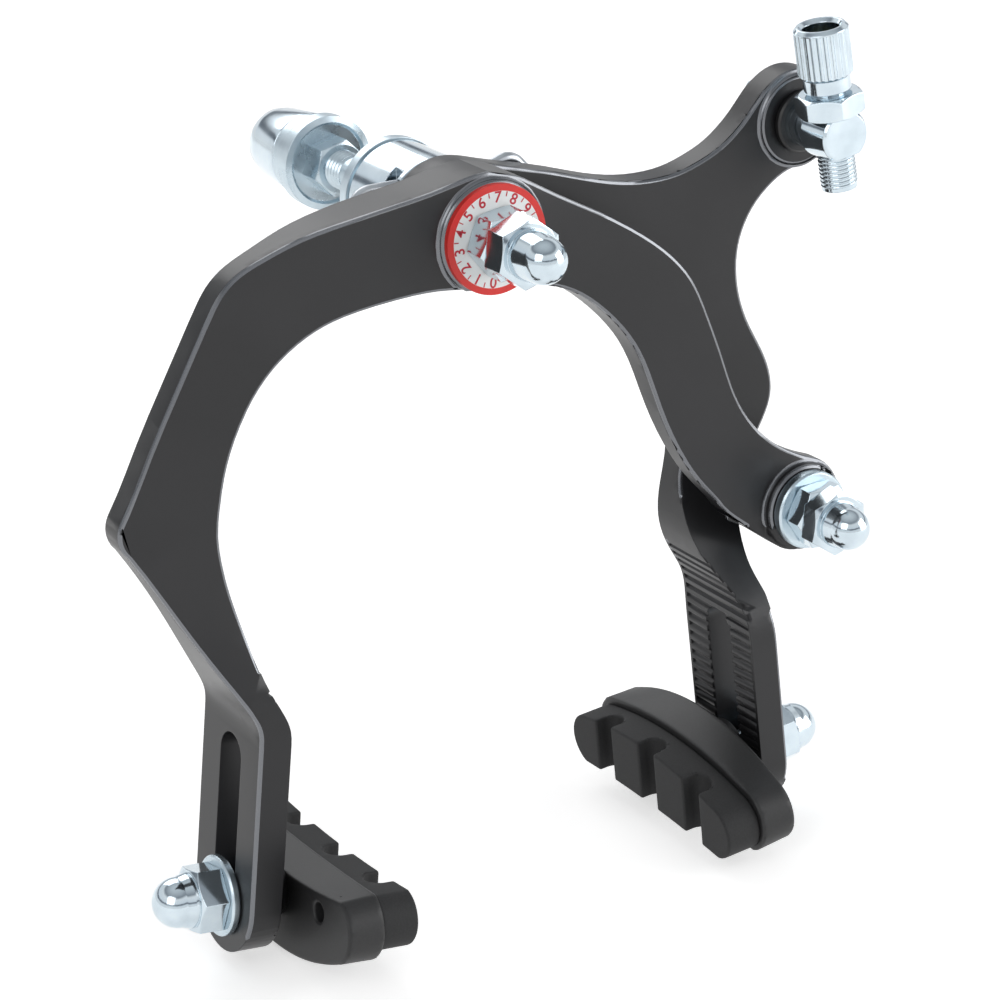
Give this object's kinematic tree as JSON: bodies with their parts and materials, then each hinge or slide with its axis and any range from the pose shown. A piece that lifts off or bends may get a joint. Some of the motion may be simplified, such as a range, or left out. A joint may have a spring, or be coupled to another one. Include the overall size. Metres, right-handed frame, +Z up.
{
  "type": "side-pull caliper brake",
  "caption": "Side-pull bicycle caliper brake: two curved arms on one bolt, slotted legs with brake pads, cable adjuster and anchor, and mounting hardware.",
  "frame": {"origin": "on the centre bolt's axis, in the rear face of the carrier washer that bears on the fork or bridge", "axes": "+Y along the centre bolt to the rear, -Y to the brake's front with the dial, +Z up, -X towards the leg of the front arm"},
  "size_m": [0.1399, 0.0943, 0.1387],
  "materials": {
    "black_anodised": "satin black anodised",
    "chrome_steel": "bright plated",
    "zinc_steel": "bright zinc",
    "dial": "printed, red rim",
    "spring_steel": "drawn wire",
    "black_steel": "black oxide",
    "shoe_plastic": "matt",
    "pad_rubber": "matt",
    "seat_brass": "plain"
  },
  "bodies": {
    "bolt": {"center_bolt": "zinc_steel", "spring_carrier": "chrome_steel", "carrier_washer": "zinc_steel", "rear_pivot_washer": "zinc_steel", "arm_washer": "zinc_steel", "dial_disc": "dial", "pivot_nut": "chrome_steel", "front_cap_nut": "chrome_steel", "return_spring": "spring_steel"},
    "rear_hardware": {"rear_nut": "zinc_steel", "dished_washer": "zinc_steel", "lock_washer": "zinc_steel", "plain_washer": "zinc_steel", "cone_nut": "chrome_steel"},
    "front_arm": {"front_arm": "black_anodised", "front_spring_pin": "zinc_steel", "anchor_bolt": "zinc_steel", "anchor_washer": "zinc_steel", "anchor_nut": "chrome_steel", "anchor_cap_nut": "chrome_steel"},
    "rear_arm": {"rear_arm": "black_anodised", "rear_spring_pin": "zinc_steel"},
    "left_clamp": {"left_pad_washer": "zinc_steel", "left_cone_washer": "black_steel"},
    "left_pad": {"left_pad_shoe": "shoe_plastic", "left_pad_block": "pad_rubber", "left_pad_stud": "zinc_steel", "left_pad_nut": "chrome_steel"},
    "right_clamp": {"right_pad_washer": "zinc_steel", "right_cone_washer": "black_steel"},
    "right_pad": {"right_pad_shoe": "shoe_plastic", "right_pad_block": "pad_rubber", "right_pad_stud": "zinc_steel", "right_pad_nut": "chrome_steel"},
    "adjuster": {"adjuster_eye": "chrome_steel", "adjuster_collar": "black_steel", "adjuster_washer": "zinc_steel", "adjuster_back_nut": "zinc_steel", "adjuster_lock_nut": "chrome_steel"},
    "barrel_travel": {"housing_seat": "seat_brass"},
    "barrel": {"adjuster_barrel": "chrome_steel"}
  },
  "joints": [
    {"name": "hardware_off", "type": "slide", "parent": "bolt", "child": "rear_hardware", "axis": [0, 1, 0], "range_m": [0, 0.045]},
    {"name": "front_arm_pivot", "type": "hinge", "parent": "bolt", "child": "front_arm", "pos_m": [0, -0.028, 0], "axis": [0, 1, 0], "range_deg": [-12, 0], "stiffness_Nm_per_rad": 1.5, "springref_deg": 20.05, "deforming": ["return_spring"]},
    {"name": "rear_arm_pivot", "type": "hinge", "parent": "bolt", "child": "rear_arm", "pos_m": [0, -0.0195, 0], "axis": [0, 1, 0], "range_deg": [0, 12], "stiffness_Nm_per_rad": 1.5, "springref_deg": -20.05, "deforming": ["return_spring"]},
    {"name": "left_pad_height", "type": "slide", "parent": "front_arm", "child": "left_clamp", "axis": [0.1236, 0, 0.9923], "range_m": [0, 0.022]},
    {"name": "left_pad_tilt", "type": "hinge", "parent": "left_clamp", "child": "left_pad", "pos_m": [-0.0506, -0.0269, -0.1022], "axis": [0.9923, 0, -0.1236], "range_deg": [-15, 15]},
    {"name": "right_pad_height", "type": "slide", "parent": "rear_arm", "child": "right_clamp", "axis": [-0.0924, 0, 0.9957], "range_m": [0, 0.02]},
    {"name": "right_pad_tilt", "type": "hinge", "parent": "right_clamp", "child": "right_pad", "pos_m": [0.0533, -0.0269, -0.1031], "axis": [-0.9957, 0, -0.0924], "range_deg": [-15, 15]},
    {"name": "adjuster_swivel", "type": "hinge", "parent": "rear_arm", "child": "adjuster", "pos_m": [0.0654, -0.02, 0.0063], "axis": [0, 1, 0], "range_deg": [-30, 30]},
    {"name": "barrel_out", "type": "slide", "parent": "adjuster", "child": "barrel_travel", "axis": [-0.1478, 0, 0.989], "range_m": [0, 0.003]},
    {"name": "barrel_turn", "type": "hinge", "parent": "barrel_travel", "child": "barrel", "pos_m": [0.0649, -0.033, 0.0063], "axis": [-0.1478, 0, 0.989], "range_deg": [0, 1100]}
  ],
  "couplings": [
    {"joint": "barrel_turn", "follows": "barrel_out", "rad_per_m": 6283.2}
  ]
}
